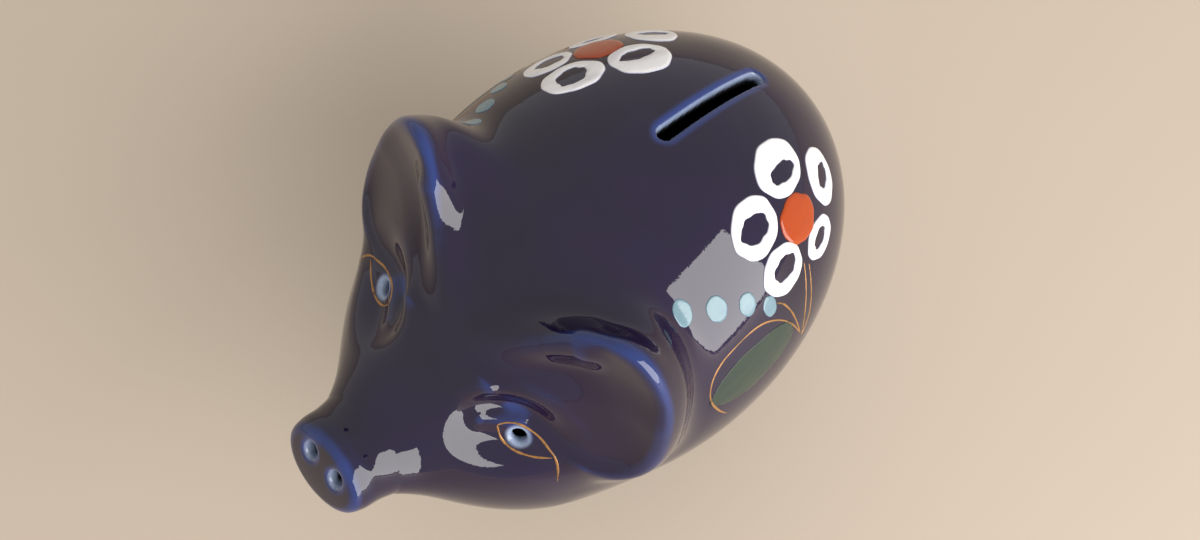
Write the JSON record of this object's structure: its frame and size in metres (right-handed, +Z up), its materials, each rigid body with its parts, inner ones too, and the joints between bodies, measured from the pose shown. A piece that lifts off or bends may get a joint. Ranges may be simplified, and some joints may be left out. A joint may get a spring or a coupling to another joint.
{
  "type": "piggy bank",
  "caption": "Hollow glazed ceramic pig for saving coins, with a slot along its back, pierced eyes and nostrils, painted flowers and a bung under the belly.",
  "frame": {"origin": "on the table, midway along, across and under the whole pig", "axes": "+Z up, the snout points along -Y, and the pig's left side is +X"},
  "size_m": [0.1008, 0.1554, 0.1154],
  "materials": {
    "cobalt_glaze": "glossy dark cobalt glaze, lighter where it runs thin over edges",
    "white_enamel": "thick glossy white enamel",
    "orange_enamel": "glossy orange enamel",
    "pale_blue_enamel": "thin pale blue enamel",
    "leaf_enamel": "thin dark green brushwork",
    "soft_stopper": "soft matt stopper"
  },
  "bodies": {
    "pig": {"body_shell": "cobalt_glaze", "ear_left": "cobalt_glaze", "ear_right": "cobalt_glaze", "foot_front_left": "cobalt_glaze", "foot_front_right": "cobalt_glaze", "foot_rear_left": "cobalt_glaze", "foot_rear_right": "cobalt_glaze", "tail": "cobalt_glaze", "flower_petals_left": "white_enamel", "flower_petals_right": "white_enamel", "flower_centre_left": "orange_enamel", "flower_centre_right": "orange_enamel", "dots_left": "pale_blue_enamel", "dots_right": "pale_blue_enamel", "leaf_left": "leaf_enamel", "leaf_right": "leaf_enamel"},
    "stopper": {"stopper": "soft_stopper"}
  },
  "joints": [
    {"name": "stopper_pull", "type": "slide", "parent": "pig", "child": "stopper", "axis": [0, 0, -1], "range_m": [0, 0.04]}
  ]
}
